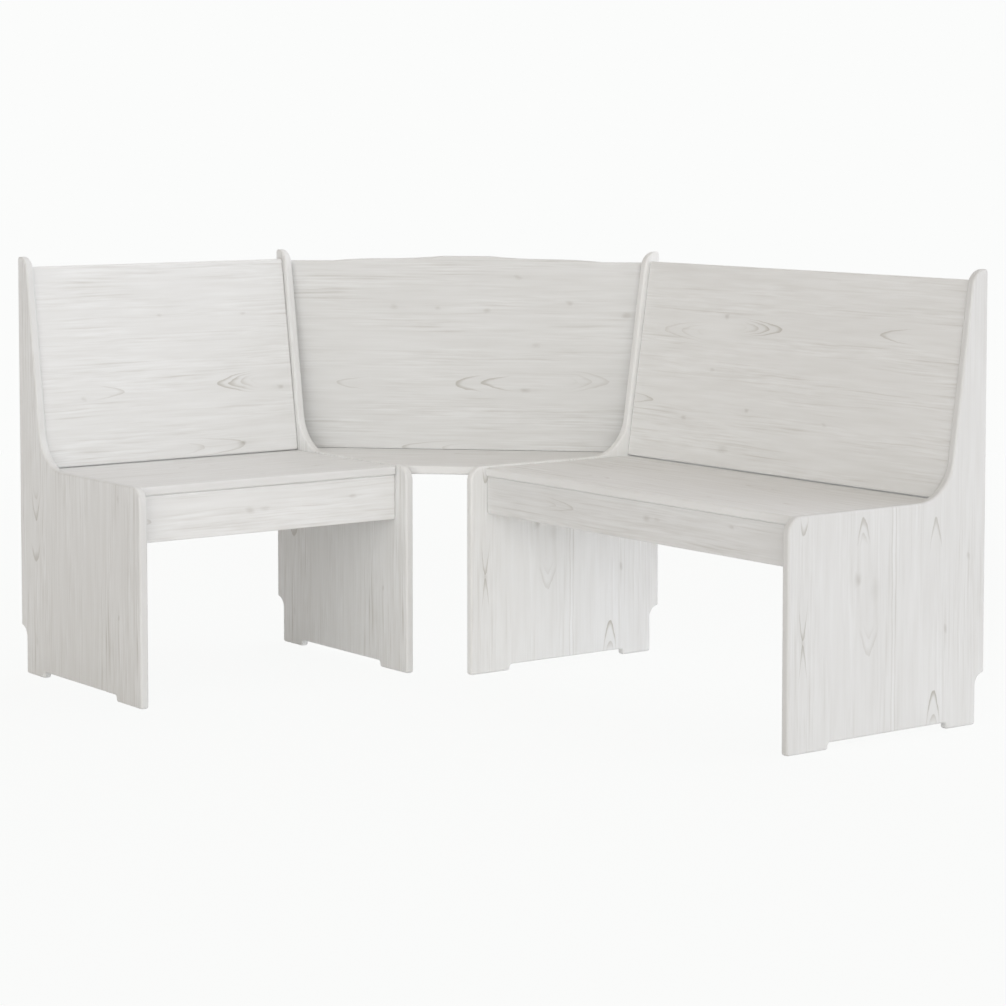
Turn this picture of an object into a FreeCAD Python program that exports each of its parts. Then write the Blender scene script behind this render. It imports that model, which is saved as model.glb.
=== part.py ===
import FreeCAD, Part

import math
import os

import Sketcher
from FreeCAD import Placement, Rotation, Vector

# A corner bench of pine boards that stands in the corner of a room. The long wing runs along +X at the
# wall on the +Y side, and the short wing along -Y at the wall on the -X side. A corner unit joins them,
# with its back and the front of its seat set across the corner. The origin is on the floor, under the
# middle of the bench, and +Z is up. "Out" is the distance from the wall that a wing stands against.

SIZES = {
    # the whole bench
    "long_side_length": 1510,
    "short_side_length": 1182,
    "corner_side_length": 576.5,
    "board_thickness": 17,
    "board_clearance": 0.5,
    "panel_edge_radius": 4.5,
    # side panels
    "panel_depth": 484,
    "panel_height": 834,
    "panel_above_seat_height": 3.5,
    "upright_seat_depth": 94.5,
    "upright_top_depth": 34.5,
    "curve_radius": 85,
    "top_radius": 32,
    "nose_radius": 30,
    "rear_foot_depth": 95.6,
    "front_foot_length": 97,
    "recess_height": 12,
    "recess_radius": 6,
    "corner_radius": 5,
    "skirting_depth": 22,
    "skirting_height": 94,
    # seats
    "seat_height": 414.5,
    "seat_setback_depth": 34,
    "seat_edge_radius": 4,
    "seat_behind_back_depth": 15,
    "corner_seat_setback_depth": 3.5,
    # wing backs
    "back_seat_depth": 87,
    "back_top_depth": 27,
    "back_drop_height": 19,
    "back_above_seat_height": 1.6,
    "back_edge_radius": 4,
    # corner back
    "corner_back_wall_gap": 1,
    "corner_back_drop_height": 23,
    "crown_height": 11,
    "corner_back_end_length": 90,
    "crown_half_length": 50,
    "corner_back_foot_radius": 1.5,
    # aprons
    "apron_setback_depth": 5,
    "short_apron_height": 90,
    "long_apron_height": 75.5,
    "apron_edge_radius": 2.5,
    # battens under the seats and behind the backs
    "batten_thickness": 20,
    "batten_height": 30,
    "batten_width": 60,
    "batten_end_gap": 0.8,
    "back_cleat_offset": 15,
    "back_cleat_top_gap": 115,
    "corner_cleat_offset": 16,
    "block_height": 35,
    # screws and dowels
    "screw_shank_diameter": 4,
    "screw_head_diameter": 8,
    "screw_rim_height": 0.4,
    "screw_point_length": 5,
    "long_screw_length": 40,
    "short_screw_length": 30,
    "pocket_screw_length": 20,
    "cross_width": 1,
    "cross_length": 4.4,
    "cross_depth": 1.6,
    "pocket_diameter": 9.6,
    "pocket_floor_thickness": 7.5,
    "pocket_wall_distance": 13,
    "dowel_diameter": 8,
    "dowel_length": 30,
    "dowel_panel_depth": 10,
    "dowel_bevel_length": 1,
    "drill_clearance": 0.15,
    "overrun_length": 3,
    "touching_distance": 0.001,
}

# The most of its room that a rounding may take, so that a flat is left beside it.
ROUNDING_SHARE = 0.95
ARRIS_SHARE = 0.45

# Places along a piece, as shares of its length or height.
CLEAT_TO_PANEL_SHARES = (0.1, 0.5, 0.9)
CLEAT_TO_BOARD_SHARES = (0.28, 0.72)
WING_CLEAT_HEIGHT_SHARE = 0.65
CORNER_CLEAT_HEIGHT_SHARE = 0.35
RAIL_TO_SEAT_SHARES = (0.23, 0.5, 0.77)
RAIL_TO_BATTEN_SHARES = (0.25, 0.75)
BATTEN_TO_BACK_SHARES = (0.15, 0.5, 0.85)
BLOCK_TO_PANEL_SHARE = 0.28
BLOCK_TO_APRON_SHARE = 0.68
DOWEL_SHARES = (0.3, 0.7)
POCKET_SCREW_SHARES = (0.1, 0.35, 0.62, 0.88)

doc = FreeCAD.newDocument("corner_bench")
sheet = doc.addObject("Spreadsheet::Sheet", "sizes")
for row, (alias, value) in enumerate(SIZES.items(), start=1):
    cell = "A%d" % row
    sheet.set(cell, str(value))
    sheet.setAlias(cell, alias)
doc.recompute()


class Size:
    """A length as a number, with the formula over the sheet that gives it."""

    def __init__(self, number, formula):
        self.number = float(number)
        self.formula = formula

    def __add__(self, other):
        other = as_size(other)
        return Size(self.number + other.number, "(%s + %s)" % (self.formula, other.formula))

    def __sub__(self, other):
        other = as_size(other)
        return Size(self.number - other.number, "(%s - %s)" % (self.formula, other.formula))

    def __mul__(self, other):
        other = as_size(other)
        return Size(self.number * other.number, "(%s * %s)" % (self.formula, other.formula))

    def __truediv__(self, other):
        other = as_size(other)
        return Size(self.number / other.number, "(%s / %s)" % (self.formula, other.formula))

    def __neg__(self):
        return Size(-self.number, "(0 - %s)" % self.formula)


def as_size(value):
    """A plain number as a size of its own."""
    if isinstance(value, Size):
        return value
    return Size(value, repr(value))


def root(size):
    """The square root of a size."""
    return Size(math.sqrt(size.number), "sqrt(%s)" % size.formula)


def smaller(first, second):
    """The smaller of two sizes, as where a rounding has to fit in its wall."""
    formula = "min(%s; %s)" % (first.formula, second.formula)
    return Size(min(first.number, second.number), formula)


def size_of(alias):
    """The size that the sheet holds under this alias."""
    return Size(sheet.get(alias), "sizes." + alias)


def bind(thing, path, size):
    """Tie one property of an object to the sheet."""
    thing.setExpression(path, size.formula)


board = size_of("board_thickness")
fit = size_of("board_clearance")
corner_side = size_of("corner_side_length")
panel_deep = size_of("panel_depth")
panel_tall = size_of("panel_height")
seat_top = size_of("seat_height")
seat_under = seat_top - board
seat_out = panel_deep - size_of("seat_setback_depth")
apron_out = seat_out - size_of("apron_setback_depth")
batten_thick = size_of("batten_thickness")
batten_under = seat_under - size_of("batten_height")
batten_gap = size_of("batten_end_gap")
apron_rear = apron_out - board
overrun = size_of("overrun_length")
zero = as_size(0)
touching = size_of("touching_distance").number


class Frame:
    """Where a wing or the corner unit stands: its wall corner, and the turn from its own axes.

    A piece is drawn with y out from the wall and z up. It is padded along x, which lies along the wall.
    """

    def __init__(self, turn):
        self.turn = Rotation(Vector(0, 0, 1), turn)
        self.corner_x = -size_of("long_side_length") / 2
        self.corner_y = size_of("short_side_length") / 2
        self.outward = self.turn.multVec(Vector(0, 1, 0))
        self.along = self.turn.multVec(Vector(1, 0, 0))

    def point(self, along, out, up):
        """The place in the room of a point that is given in the frame."""
        corner = Vector(self.corner_x.number, self.corner_y.number, 0)
        return corner + self.along * along.number + self.outward * out.number + Vector(0, 0, up.number)


class Wing(Frame):
    """One wing. Distances along the wall count from the wall corner, whichever way the wing runs."""

    def __init__(self, name, divider, end, turn, side, apron_height, mirrored):
        super().__init__(turn)
        self.name = name
        self.divider = divider
        self.end = end
        self.inner = corner_side
        self.outer = side - board
        self.apron_bottom = seat_under - apron_height
        self.mirrored = mirrored
        if mirrored:
            self.along = -self.along

    def stand(self, body, start, stop):
        """Put a piece that fills the stretch from start to stop in its place."""
        x = self.corner_x
        y = self.corner_y
        if self.mirrored:
            x = x + stop
        else:
            y = y - start
        body.Placement = Placement(Vector(x.number, y.number, 0), self.turn)
        bind(body, "Placement.Base.x", x)
        bind(body, "Placement.Base.y", y)


short_wing = Wing(
    "short_wing", "left_divider_panel", "left_end_panel",
    -90, size_of("short_side_length"), size_of("short_apron_height"), False,
)
long_wing = Wing(
    "long_wing", "right_divider_panel", "right_end_panel",
    180, size_of("long_side_length"), size_of("long_apron_height"), True,
)
wings = (short_wing, long_wing)
across = Frame(-135)

blanks = {}


def outline(body, role, name, corners, arcs):
    """A closed sketch through the corners. arcs gives the radius of each side that is round.

    A radius above zero turns left on the way to the next corner, and one below zero turns right.
    """
    sketch = body.newObject("Sketcher::SketchObject", name)
    plane = [feature for feature in body.Origin.OriginFeatures if feature.Role == role][0]
    sketch.AttachmentSupport = [(plane, "")]
    sketch.MapMode = "FlatFace"
    spots = [Vector(x.number, y.number, 0) for x, y in corners]
    first_ends = []
    last_ends = []
    for n, start in enumerate(spots):
        stop = spots[(n + 1) % len(spots)]
        first_ends.append((n, 1))
        last_ends.append((n, 2))
        if n not in arcs:
            sketch.addGeometry(Part.LineSegment(start, stop), False)
            continue
        radius = arcs[n].number
        chord = stop - start
        left = Vector(-chord.y, chord.x, 0).normalize()
        reach = math.sqrt(radius ** 2 - (chord.Length / 2) ** 2)
        middle = (start + stop) / 2 + left * math.copysign(reach, radius)
        if radius < 0:
            start, stop = stop, start
            first_ends[n], last_ends[n] = last_ends[n], first_ends[n]
        turn_from = math.atan2(start.y - middle.y, start.x - middle.x)
        turn_to = math.atan2(stop.y - middle.y, stop.x - middle.x)
        circle = Part.Circle(middle, Vector(0, 0, 1), abs(radius))
        sketch.addGeometry(Part.ArcOfCircle(circle, turn_from, turn_to), False)
    for n, (x, y) in enumerate(corners):
        following = (n + 1) % len(corners)
        sketch.addConstraint(Sketcher.Constraint("Coincident", *last_ends[n], *first_ends[following]))
        for kind, axis, size in (("DistanceX", -2, x), ("DistanceY", -1, y)):
            if size.number == 0:
                sketch.addConstraint(Sketcher.Constraint("PointOnObject", *first_ends[n], axis))
                continue
            constraint = Sketcher.Constraint(kind, -1, 1, *first_ends[n], size.number)
            bind(sketch, "Constraints[%d]" % sketch.addConstraint(constraint), size)
    for n, radius in arcs.items():
        if radius.number < 0:
            radius = -radius
        constraint = Sketcher.Constraint("Radius", n, radius.number)
        bind(sketch, "Constraints[%d]" % sketch.addConstraint(constraint), radius)
    return sketch


def prism(name, role, corners, length, arcs=None):
    """A body of one flat outline, padded to its length."""
    body = doc.addObject("PartDesign::Body", name + "_blank")
    pad = body.newObject("PartDesign::Pad", name + "_pad")
    pad.Profile = outline(body, role, name + "_outline", corners, arcs or {})
    bind(pad, "Length", length)
    doc.recompute()
    blanks[name] = body
    return body


def soften(body, picks, radius):
    """Round the edges of a body that picks chooses, as far as its board is thick enough."""
    radius = smaller(radius, board * ARRIS_SHARE)
    round_edges(body, picks, radius)


def round_edges(body, picks, radius):
    """Round the edges of a body that picks chooses."""
    base = body.Tip
    edges = ["Edge%d" % n for n, edge in enumerate(base.Shape.Edges, start=1) if picks(edge)]
    fillet = body.newObject("PartDesign::Fillet", body.Name + "_round")
    fillet.Base = (base, edges)
    bind(fillet, "Radius", radius)
    doc.recompute()


def along_x(*corners):
    """Picks the edges that run along x through these corners of the outline."""
    def picks(edge):
        middle = edge.CenterOfMass
        straight = edge.BoundBox.YLength < touching and edge.BoundBox.ZLength < touching
        return straight and any(
            abs(middle.y - y.number) < touching and abs(middle.z - z.number) < touching
            for y, z in corners
        )
    return picks


def on_faces(length):
    """Picks every edge that lies in one of the two flat faces of a body padded along x."""
    def picks(edge):
        box = edge.BoundBox
        return box.XLength < touching and min(abs(box.XMin), abs(box.XMax - length.number)) < touching
    return picks


def every(edge):
    """Picks all edges."""
    return True


def board_of(name, wing, start, stop, corners, arris=None):
    """A straight piece of a wing, from start to stop along the wall, of one outline all the way."""
    body = prism(name, "YZ_Plane", corners, stop - start)
    if arris:
        soften(body, every, arris)
    wing.stand(body, start, stop)
    return body


def rectangle(near, far, bottom, top):
    """The corners of a square-cut section."""
    return [(near, bottom), (far, bottom), (far, top), (near, top)]


# The leaning line of the wing backs' front face, and points behind it.

back_top = panel_tall - size_of("back_drop_height")
back_bottom = seat_top + size_of("back_above_seat_height")
lean = (size_of("back_seat_depth") - size_of("back_top_depth")) / (back_top - seat_top)
lean_length = root(lean * lean + 1)
back_long = (back_top - back_bottom) * lean_length


def back_front(up):
    """How far out the front face of a wing back is at a height."""
    return size_of("back_seat_depth") - lean * (up - seat_top)


def behind(up, deep):
    """The point this far up the face of a wing back from its lower edge, and this deep behind it."""
    out = back_front(back_bottom) - lean * up / lean_length - deep / lean_length
    height = back_bottom + up / lean_length - lean * deep / lean_length
    return out, height


def leaning(start, stop, front, rear):
    """The corners of a section that leans with the wing backs."""
    return [behind(start, front), behind(stop, front), behind(stop, rear), behind(start, rear)]


seat_rear = back_front(seat_top) - board * lean_length - size_of("seat_behind_back_depth")
rail_front = seat_rear + batten_thick
cleat_front = apron_rear - batten_gap
back_cleat_start = size_of("back_cleat_offset")
back_cleat_stop = back_long - size_of("back_cleat_top_gap")
back_cleat_rear = board + batten_thick


# Side panels

def side_panel(name, wing, start):
    """One side panel: feet, nose, upright and skirting notch in one outline."""
    deep = panel_deep
    tall = panel_tall
    line = seat_top + size_of("panel_above_seat_height")
    rear_foot = size_of("rear_foot_depth")
    front_foot = deep - size_of("front_foot_length")
    recess = size_of("recess_height")
    notch_deep = size_of("skirting_depth")
    notch_tall = size_of("skirting_height")
    at_seat = size_of("upright_seat_depth")
    at_top = size_of("upright_top_depth")
    corner_round = size_of("corner_radius")
    outer_corners = [
        (notch_deep, zero),
        (rear_foot, zero),
        (front_foot, zero),
        (deep, zero),
        (zero, tall),
        (zero, notch_tall),
    ]
    corners = [
        (notch_deep, zero),
        (rear_foot, zero),
        (rear_foot, recess),
        (front_foot, recess),
        (front_foot, zero),
        (deep, zero),
        (deep, line),
        (at_seat, line),
        (at_top, tall),
        (zero, tall),
        (zero, notch_tall),
        (notch_deep, notch_tall - notch_deep),
    ]
    body = prism(name, "YZ_Plane", corners, board, {10: -notch_deep})
    round_edges(body, along_x((deep, line)), size_of("nose_radius"))
    round_edges(body, along_x((at_seat, line)), size_of("curve_radius"))
    # The top rounding leaves a flat between itself and the corner at the wall.
    slope = (at_seat - at_top) / (tall - line)
    top_room = (at_top - corner_round) / (root(slope * slope + 1) - slope)
    round_edges(body, along_x((at_top, tall)), smaller(size_of("top_radius"), top_room * ROUNDING_SHARE))
    recess_round = smaller(size_of("recess_radius"), (recess - corner_round) * ROUNDING_SHARE)
    round_edges(body, along_x((rear_foot, recess), (front_foot, recess)), recess_round)
    round_edges(body, along_x(*outer_corners), corner_round)
    soften(body, on_faces(board), smaller(size_of("panel_edge_radius"), corner_round))
    wing.stand(body, start, start + board)


for wing in wings:
    side_panel(wing.divider, wing, wing.inner - board)
    side_panel(wing.end, wing, wing.outer)


# Boards and battens of the wings

for wing in wings:
    start = wing.inner + fit
    stop = wing.outer - fit
    board_of(
        wing.name + "_seat", wing, start, stop,
        rectangle(seat_rear, seat_out, seat_under, seat_top),
        size_of("seat_edge_radius"),
    )
    # The lower edge of the back lies level, so that the slot above the seat is as wide all the way in.
    board_of(
        wing.name + "_back", wing, start, stop,
        [
            behind(zero, zero),
            behind(back_long, zero),
            behind(back_long, board),
            (back_front(back_bottom) - board * lean_length, back_bottom),
        ],
        size_of("back_edge_radius"),
    )
    board_of(
        wing.name + "_apron", wing, start, stop,
        rectangle(apron_rear, apron_out, wing.apron_bottom, seat_under),
        size_of("apron_edge_radius"),
    )
    board_of(
        wing.name + "_rear_rail", wing, start, stop,
        rectangle(seat_rear, rail_front, batten_under, seat_under),
    )

for wing in wings:
    ends = ((wing.inner, wing.inner + batten_thick), (wing.outer - batten_thick, wing.outer))
    if wing is short_wing:
        ends = (ends[1], ends[0])
    for hand, (start, stop) in zip(("left", "right"), ends):
        board_of(
            "%s_seat_cleat_%s" % (wing.name, hand), wing, start, stop,
            rectangle(rail_front, cleat_front, batten_under, seat_under),
        )
        board_of(
            "%s_back_cleat_%s" % (wing.name, hand), wing, start, stop,
            leaning(back_cleat_start, back_cleat_stop, board, back_cleat_rear),
        )
        board_of(
            "%s_apron_block_%s" % (wing.name, hand), wing, start, stop,
            rectangle(
                apron_rear - batten_thick, apron_rear, batten_under - size_of("block_height"), batten_under,
            ),
        )

batten_start = (long_wing.inner + long_wing.outer - size_of("batten_width")) / 2
batten_stop = batten_start + size_of("batten_width")
board_of(
    "long_wing_seat_batten", long_wing, batten_start, batten_stop,
    rectangle(rail_front, cleat_front, batten_under, seat_under),
)
board_of(
    "long_wing_back_batten", long_wing, batten_start, batten_stop,
    leaning(back_cleat_start, back_cleat_stop, board, back_cleat_rear),
)


# The corner unit. Across the corner, a piece reaches as far to each side as the dividers let it.

diagonal = root(as_size(2))
divider_face = corner_side - board
corner_reach = (divider_face - fit) * diagonal
corner_back_rear = (divider_face - fit + size_of("corner_back_wall_gap")) / diagonal
corner_back_front = corner_back_rear + board
corner_rail_front = corner_back_rear + batten_thick
corner_seat_side = seat_out - size_of("corner_seat_setback_depth")
corner_seat_front = (divider_face + corner_seat_side) / diagonal


def trapezium(rear, front):
    """The plan of a piece that lies across the corner, mitred to the dividers at both ends."""
    return [
        (rear - corner_reach, rear),
        (corner_reach - rear, rear),
        (corner_reach - front, front),
        (front - corner_reach, front),
    ]


def across_corner(name, rear, front, bottom, top, arris=None):
    """A flat piece that lies across the corner."""
    body = prism(name, "XY_Plane", trapezium(rear, front), top - bottom)
    if arris:
        soften(body, every, arris)
    body.Placement = Placement(across.point(zero, zero, bottom), across.turn)
    bind(body, "Placement.Base.x", across.corner_x)
    bind(body, "Placement.Base.y", across.corner_y)
    bind(body, "Placement.Base.z", bottom)
    return body


across_corner(
    "corner_seat", corner_back_rear, corner_seat_front, seat_under, seat_top, size_of("seat_edge_radius"),
)
across_corner("corner_rear_rail", corner_back_rear, corner_rail_front, batten_under, seat_under)

corner_back_top = panel_tall - size_of("corner_back_drop_height")
corner_back_bottom = seat_top + fit
flat_top = corner_back_top - corner_back_bottom
peak_top = flat_top + size_of("crown_height")
corner_back = across_corner(
    "corner_back", corner_back_rear, corner_back_front,
    corner_back_bottom, corner_back_top + size_of("crown_height"),
)

# The top edge is low at its ends and climbs in two equal arcs on each side to the crown.
shoulder_end = corner_reach - corner_back_front - size_of("corner_back_end_length")
shoulder_top = size_of("crown_half_length")
shoulder_middle = (shoulder_end + shoulder_top) / 2
shoulder_run = (shoulder_end - shoulder_top) / 2
shoulder_rise = size_of("crown_height") / 2
shoulder_round = (shoulder_run * shoulder_run + shoulder_rise * shoulder_rise) / (shoulder_rise * 2)
beyond = corner_reach - corner_back_rear + overrun
shoulder = corner_back.newObject("PartDesign::Pocket", "corner_back_shoulder")
shoulder.Profile = outline(
    corner_back, "XZ_Plane", "corner_back_shoulder_outline",
    [
        (shoulder_end, flat_top),
        (beyond, flat_top),
        (beyond, peak_top + overrun),
        (shoulder_top, peak_top + overrun),
        (shoulder_top, peak_top),
        (shoulder_middle, flat_top + shoulder_rise),
    ],
    {4: shoulder_round, 5: -shoulder_round},
)
shoulder.Type = "ThroughAll"
shoulder.Midplane = True
doc.recompute()
other_shoulder = corner_back.newObject("PartDesign::Mirrored", "corner_back_other_shoulder")
other_shoulder.Originals = [shoulder]
mirror_plane = [f for f in corner_back.Origin.OriginFeatures if f.Role == "YZ_Plane"][0]
other_shoulder.MirrorPlane = (mirror_plane, [""])
corner_back.Tip = other_shoulder
doc.recompute()


def along_top(edge):
    """Picks the long edges at the top of the corner back."""
    box = edge.BoundBox
    return box.ZMin > flat_top.number - touching and box.YLength < touching


def along_foot(edge):
    """Picks the long edges at the foot of the corner back."""
    box = edge.BoundBox
    return box.ZMax < touching and box.YLength < touching


soften(corner_back, along_foot, size_of("corner_back_foot_radius"))
soften(corner_back, along_top, size_of("back_edge_radius"))

corner_cleat_rear = corner_rail_front * diagonal - (divider_face - batten_thick) + batten_gap
corner_cleat_front = corner_seat_side - size_of("corner_cleat_offset")
for wing, hand in ((short_wing, "left"), (long_wing, "right")):
    board_of(
        "corner_seat_cleat_" + hand, wing, divider_face - batten_thick, divider_face,
        rectangle(corner_cleat_rear, corner_cleat_front, batten_under, seat_under),
    )


# Screws and dowels. Each one is driven through one piece into another, and both pieces are drilled for it.

shank = size_of("screw_shank_diameter").number / 2
head = size_of("screw_head_diameter").number / 2
rim = size_of("screw_rim_height").number
point = size_of("screw_point_length").number
cross_wide = size_of("cross_width").number
cross_span = size_of("cross_length").number
cross_deep = size_of("cross_depth").number
pocket = size_of("pocket_diameter").number / 2
pocket_wood = size_of("pocket_floor_thickness")
dowel = size_of("dowel_diameter").number / 2
dowel_long = size_of("dowel_length").number
dowel_bevel = size_of("dowel_bevel_length").number
room = size_of("drill_clearance").number
past = overrun.number
upward = Vector(0, 0, 1)


def turned(profile):
    """The solid that a half outline, given as radius and depth, makes about its own axis."""
    corners = [Vector(radius, 0, depth) for radius, depth in profile]
    wire = Part.makePolygon(corners + corners[:1])
    return Part.Face(wire).revolve(Vector(0, 0, 0), upward, 360)


def screw(length):
    """A countersunk cross-recess screw, with the top of its head at the origin and its point along +Z."""
    solid = turned([
        (0, 0),
        (head, 0),
        (head, rim),
        (shank, rim + head - shank),
        (shank, length - point),
        (0, length),
    ])
    wide = Part.makeBox(cross_span, cross_wide, cross_deep, Vector(-cross_span / 2, -cross_wide / 2, 0))
    tall = Part.makeBox(cross_wide, cross_span, cross_deep, Vector(-cross_wide / 2, -cross_span / 2, 0))
    return solid.cut(wide.fuse(tall))


def screw_drills(length, grip):
    """The clear, countersunk hole in the piece under the head, and the pilot hole in the next piece."""
    clear = turned([
        (0, -past),
        (head + room, -past),
        (head + room, rim + room),
        (shank + room, rim + room + head - shank),
        (shank + room, grip + past),
        (0, grip + past),
    ])
    pilot = turned([
        (0, grip - past),
        (shank + room, grip - past),
        (shank + room, length - point + room),
        (0, length + 2 * room),
    ])
    return clear, pilot


def dowel_pin():
    """A bevelled dowel that starts at the origin and runs along +Z."""
    return turned([
        (0, 0),
        (dowel - dowel_bevel, 0),
        (dowel, dowel_bevel),
        (dowel, dowel_long - dowel_bevel),
        (dowel - dowel_bevel, dowel_long),
        (0, dowel_long),
    ])


drills = {name: [] for name in blanks}
fasteners = {
    kind: []
    for kind in (
        "seat_cleat_screws", "seat_board_screws", "back_cleat_screws", "back_board_screws",
        "apron_block_screws", "rear_rail_screws", "corner_back_screws", "apron_dowels",
    )
}


def set_at(shape, place, direction):
    """A copy of a shape, moved from the origin and +Z to a place and a direction."""
    copy = shape.copy()
    copy.Placement = Placement(place, Rotation(upward, direction))
    return copy


def drive(kind, through, into, place, direction, grip, length):
    """Drive a screw at a place, through one piece as thick as grip, into the next."""
    long_enough = size_of(length).number
    clear, pilot = screw_drills(long_enough, grip.number)
    fasteners[kind].append(set_at(screw(long_enough), place, direction))
    drills[through].append(set_at(clear, place, direction))
    drills[into].append(set_at(pilot, place, direction))


def between(start, stop, share):
    """The place at this share of the way from start to stop."""
    return start + (stop - start) * share


def fix_seat_cleat(name, wing, panel, seat, free_face, panel_face, rear, front, height_share):
    """Screw a seat cleat to its panel from the side, and the seat to the cleat from below."""
    height = between(batten_under, seat_under, height_share)
    away = wing.along * math.copysign(1, panel_face.number - free_face.number)
    for share in CLEAT_TO_PANEL_SHARES:
        place = wing.point(free_face, between(rear, front, share), height)
        drive("seat_cleat_screws", name, panel, place, away, batten_thick, "short_screw_length")
    for share in CLEAT_TO_BOARD_SHARES:
        place = wing.point((free_face + panel_face) / 2, between(rear, front, share), batten_under)
        drive("seat_board_screws", name, seat, place, upward, size_of("batten_height"), "long_screw_length")


def fix_back_batten(name, wing, middle, shares):
    """Screw a batten to the back in front of it, from behind."""
    forward = wing.outward / lean_length.number + upward * (lean / lean_length).number
    for share in shares:
        out, height = behind(between(back_cleat_start, back_cleat_stop, share), back_cleat_rear)
        place = wing.point(middle, out, height)
        drive(
            "back_board_screws", name, wing.name + "_back",
            place, forward, batten_thick, "short_screw_length",
        )


def fix_rear_rail(wing, along, batten):
    """Screw the rear rail of a wing, from behind, to the end of a batten in front of it."""
    place = wing.point(along, seat_rear, (batten_under + seat_under) / 2)
    drive(
        "rear_rail_screws", wing.name + "_rear_rail", batten,
        place, wing.outward, batten_thick, "long_screw_length",
    )


for wing in wings:
    seat = wing.name + "_seat"
    apron = wing.name + "_apron"
    rail = wing.name + "_rear_rail"
    hands = ("right", "left") if wing is short_wing else ("left", "right")
    sides = (
        (hands[0], wing.divider, wing.inner, wing.inner + batten_thick),
        (hands[1], wing.end, wing.outer, wing.outer - batten_thick),
    )
    for hand, panel, panel_face, free_face in sides:
        middle = (panel_face + free_face) / 2
        toward_panel = wing.along * math.copysign(1, panel_face.number - free_face.number)
        seat_cleat = "%s_seat_cleat_%s" % (wing.name, hand)
        fix_seat_cleat(
            seat_cleat, wing, panel, seat,
            free_face, panel_face, rail_front, cleat_front, WING_CLEAT_HEIGHT_SHARE,
        )
        fix_rear_rail(wing, middle, seat_cleat)

        back_cleat = "%s_back_cleat_%s" % (wing.name, hand)
        fix_back_batten(back_cleat, wing, middle, CLEAT_TO_BOARD_SHARES)
        for share in CLEAT_TO_PANEL_SHARES:
            up = between(back_cleat_start, back_cleat_stop, share)
            out, height = behind(up, board + batten_thick / 2)
            place = wing.point(free_face, out, height)
            drive(
                "back_cleat_screws", back_cleat, panel,
                place, toward_panel, batten_thick, "short_screw_length",
            )

        block = "%s_apron_block_%s" % (wing.name, hand)
        block_bottom = batten_under - size_of("block_height")
        height = between(block_bottom, batten_under, BLOCK_TO_PANEL_SHARE)
        place = wing.point(free_face, apron_rear - batten_thick / 2, height)
        drive("apron_block_screws", block, panel, place, toward_panel, batten_thick, "short_screw_length")
        height = between(block_bottom, batten_under, BLOCK_TO_APRON_SHARE)
        place = wing.point(middle, apron_rear - batten_thick, height)
        drive("apron_block_screws", block, apron, place, wing.outward, batten_thick, "short_screw_length")

        socket_end = panel_face - (free_face - panel_face) / batten_thick * size_of("dowel_panel_depth")
        for share in DOWEL_SHARES:
            height = between(wing.apron_bottom, seat_under, share)
            place = wing.point(socket_end, apron_rear + board / 2, height)
            fasteners["apron_dowels"].append(set_at(dowel_pin(), place, -toward_panel))
            socket = Part.makeCylinder(dowel + room, dowel_long + room + room, Vector(0, 0, -room))
            drills[panel].append(set_at(socket, place, -toward_panel))
            drills[apron].append(set_at(socket, place, -toward_panel))

    for share in RAIL_TO_SEAT_SHARES:
        out = (seat_rear + rail_front) / 2
        place = wing.point(between(wing.inner, wing.outer, share), out, batten_under)
        drive("seat_board_screws", rail, seat, place, upward, size_of("batten_height"), "long_screw_length")

batten_middle = (batten_start + batten_stop) / 2
fix_back_batten("long_wing_back_batten", long_wing, batten_middle, BATTEN_TO_BACK_SHARES)
for share in RAIL_TO_BATTEN_SHARES:
    fix_rear_rail(long_wing, between(batten_start, batten_stop, share), "long_wing_seat_batten")
for share in CLEAT_TO_BOARD_SHARES:
    place = long_wing.point(batten_middle, between(rail_front, cleat_front, share), batten_under)
    drive(
        "seat_board_screws", "long_wing_seat_batten", "long_wing_seat",
        place, upward, size_of("batten_height"), "long_screw_length",
    )

def drive_from_pocket(kind, piece, wing, height):
    """Screw one end of a piece across the corner to its divider.

    The screw starts in a flat-bottomed pocket on the rear of the piece, just clear of the wall.
    """
    place = wing.point(divider_face - fit - pocket_wood, size_of("pocket_wall_distance"), height)
    drive(kind, piece, wing.divider, place, wing.along, pocket_wood + fit, "pocket_screw_length")
    flat = Part.makeCylinder(pocket, board.number, Vector(0, 0, -board.number))
    drills[piece].append(set_at(flat, place, wing.along))


for wing, hand in ((short_wing, "left"), (long_wing, "right")):
    fix_seat_cleat(
        "corner_seat_cleat_" + hand, wing, wing.divider, "corner_seat",
        divider_face - batten_thick, divider_face, corner_cleat_rear, corner_cleat_front,
        CORNER_CLEAT_HEIGHT_SHARE,
    )
    for share in POCKET_SCREW_SHARES:
        height = between(seat_top, corner_back_top, share)
        drive_from_pocket("corner_back_screws", "corner_back", wing, height)
    drive_from_pocket("rear_rail_screws", "corner_rear_rail", wing, (batten_under + seat_under) / 2)

corner_rail_half = corner_reach - corner_rail_front
for share in RAIL_TO_SEAT_SHARES:
    out = (corner_back_rear + corner_rail_front) / 2
    place = across.point(between(-corner_rail_half, corner_rail_half, share), out, batten_under)
    drive(
        "seat_board_screws", "corner_rear_rail", "corner_seat",
        place, upward, size_of("batten_height"), "long_screw_length",
    )


# The finished pieces: every blank with its holes, and the fasteners in groups

pieces = {}
for name, blank in blanks.items():
    drill = doc.addObject("Part::Feature", name + "_drill")
    drill.Shape = Part.makeCompound(drills[name])
    piece = doc.addObject("Part::Cut", name)
    piece.Base = blank
    piece.Tool = drill
    pieces[name] = piece
for kind, shapes in fasteners.items():
    group = doc.addObject("Part::Feature", kind)
    group.Shape = Part.makeCompound(shapes)
    pieces[kind] = group
for name, piece in pieces.items():
    piece.Label = name
doc.recompute()

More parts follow.
